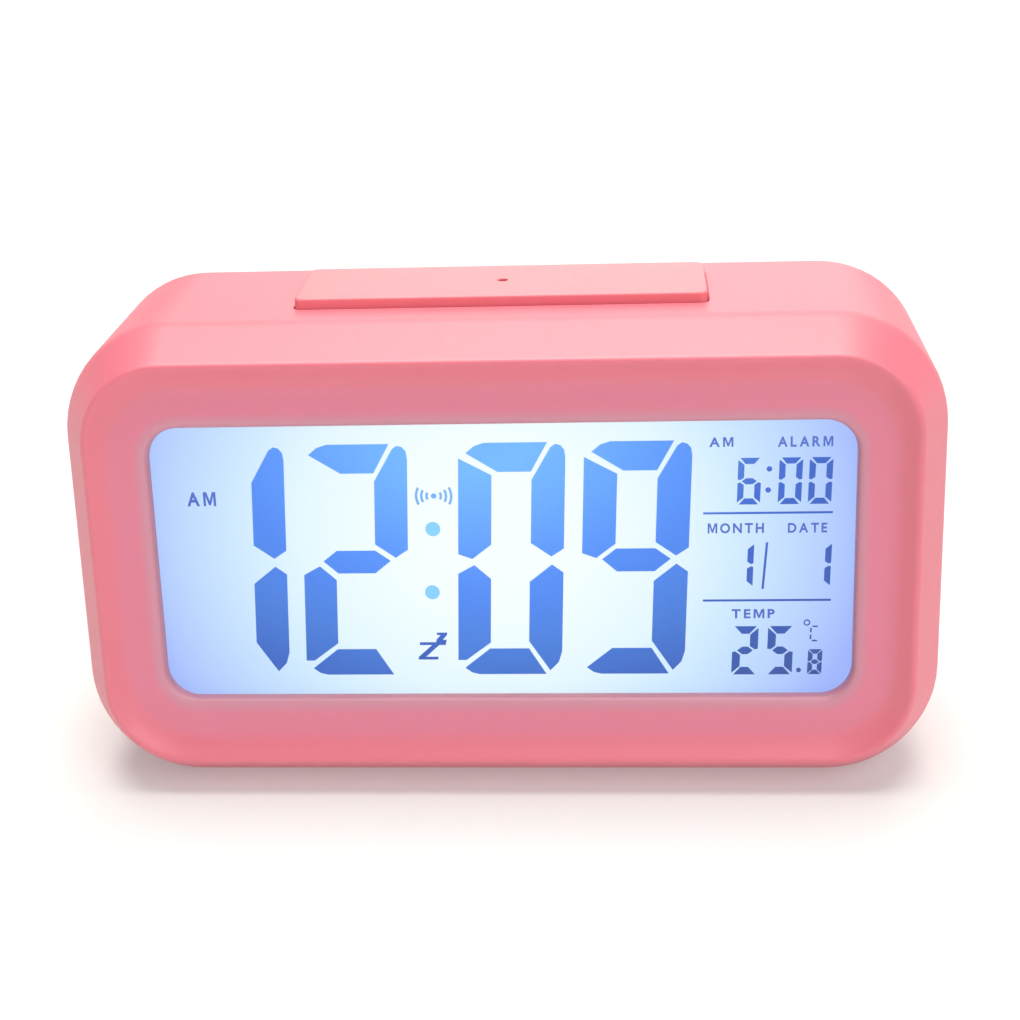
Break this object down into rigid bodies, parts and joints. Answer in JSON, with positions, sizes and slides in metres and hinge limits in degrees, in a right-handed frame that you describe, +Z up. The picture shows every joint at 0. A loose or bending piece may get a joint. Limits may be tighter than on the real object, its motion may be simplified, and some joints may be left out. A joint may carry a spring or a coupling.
{
  "type": "alarm clock",
  "caption": "Table alarm clock: rounded case with a leaning front, bevelled ring round a backlit segment display, long snooze bar, and set buttons, slide switches and battery door behind",
  "frame": {"origin": "centre of the footprint on the table, under the middle of the clock's bounding box", "axes": "+X to the right as seen from the front, along the clock's width; the display faces -Y and leans back 6 degrees; +Z up"},
  "size_m": [0.135, 0.045, 0.075],
  "materials": {
    "pink_housing": "soft-touch matte pink, slightly translucent",
    "pink_key": "smooth satin pale pink",
    "clear_lens": "clear glossy lens",
    "polariser_film": "grey film",
    "lit_film": "backlit polariser, brightest in the middle",
    "display_ink": "darkened crystal of a lit segment",
    "display_glass": "clear glass",
    "white_plastic": "matte white",
    "clear_acrylic": "clear glossy",
    "contact_rubber": "matte striped",
    "circuit_board": "satin solder mask",
    "black_plastic": "matte black",
    "nickel_plate": "satin nickel plate",
    "sounder_brass": "satin brass",
    "ceramic": "silvered ceramic",
    "sensor_ceramic": "clear-coated ceramic",
    "cell_jacket": "plain printed jacket",
    "red_wire": "glossy sleeve",
    "black_wire": "glossy sleeve",
    "ribbon_cable": "grey ribbed",
    "screw_steel": "zinc plate"
  },
  "bodies": {
    "case": {"front_case": "pink_housing", "rear_cover": "pink_housing", "display_lens": "clear_lens", "front_polariser": "lit_film", "lcd_front_glass": "display_glass", "lcd_rear_glass": "display_glass", "rear_polariser": "polariser_film", "diffuser_sheet": "white_plastic", "light_guide": "clear_acrylic", "reflector_sheet": "white_plastic", "display_frame": "white_plastic", "backlight_leds": "white_plastic", "zebra_strip": "contact_rubber", "main_board": "circuit_board", "controller_blob": "black_plastic", "clock_crystal": "nickel_plate", "electrolytic_capacitor": "black_plastic", "chip_components": "black_plastic", "piezo_plate": "sounder_brass", "piezo_ceramic": "ceramic", "thermistor": "black_plastic", "light_sensor": "sensor_ceramic", "snooze_board": "circuit_board", "snooze_switches": "black_plastic", "button_board": "circuit_board", "button_switches": "black_plastic", "slide_switches": "nickel_plate", "positive_contact": "nickel_plate", "left_link_contact": "nickel_plate", "right_link_contact": "nickel_plate", "negative_contact": "nickel_plate", "battery_springs": "nickel_plate", "battery_upper": "cell_jacket", "battery_middle": "cell_jacket", "battery_lower": "cell_jacket", "red_leads": "red_wire", "black_leads": "black_wire", "button_ribbon": "ribbon_cable", "snooze_ribbon": "ribbon_cable", "case_screws": "screw_steel", "board_screws": "screw_steel", "snooze_board_screws": "screw_steel", "button_board_screws": "screw_steel"},
    "snooze_bar": {"snooze_bar": "pink_key", "snooze_plungers": "nickel_plate"},
    "battery_door": {"battery_door": "pink_housing"},
    "mode_button": {"mode_button": "pink_key", "mode_plunger": "nickel_plate"},
    "set_button": {"set_button": "pink_key", "set_plunger": "nickel_plate"},
    "up_button": {"up_button": "pink_key", "up_plunger": "nickel_plate"},
    "down_button": {"down_button": "pink_key", "down_plunger": "nickel_plate"},
    "alarm_slider": {"alarm_slider": "pink_key", "alarm_lever": "black_plastic"},
    "sensor_slider": {"sensor_slider": "pink_key", "sensor_lever": "black_plastic"}
  },
  "joints": [
    {"name": "snooze_press", "type": "slide", "parent": "case", "child": "snooze_bar", "axis": [0, 0, -1], "range_m": [0, 0.0008], "stiffness_N_per_m": 2500, "springref_m": -0.0002},
    {"name": "mode_press", "type": "slide", "parent": "case", "child": "mode_button", "axis": [0, -1, 0], "range_m": [0, 0.0006], "stiffness_N_per_m": 2500, "springref_m": -0.0002},
    {"name": "set_press", "type": "slide", "parent": "case", "child": "set_button", "axis": [0, -1, 0], "range_m": [0, 0.0006], "stiffness_N_per_m": 2500, "springref_m": -0.0002},
    {"name": "up_press", "type": "slide", "parent": "case", "child": "up_button", "axis": [0, -1, 0], "range_m": [0, 0.0006], "stiffness_N_per_m": 2500, "springref_m": -0.0002},
    {"name": "down_press", "type": "slide", "parent": "case", "child": "down_button", "axis": [0, -1, 0], "range_m": [0, 0.0006], "stiffness_N_per_m": 2500, "springref_m": -0.0002},
    {"name": "alarm_switch", "type": "slide", "parent": "case", "child": "alarm_slider", "axis": [1, 0, 0], "range_m": [0, 0.004]},
    {"name": "sensor_switch", "type": "slide", "parent": "case", "child": "sensor_slider", "axis": [1, 0, 0], "range_m": [0, 0.004]},
    {"name": "door_hinge", "type": "hinge", "parent": "case", "child": "battery_door", "pos_m": [0, 0.0203, 0.0115], "axis": [-1, 0, 0], "range_deg": [0, 90]}
  ]
}
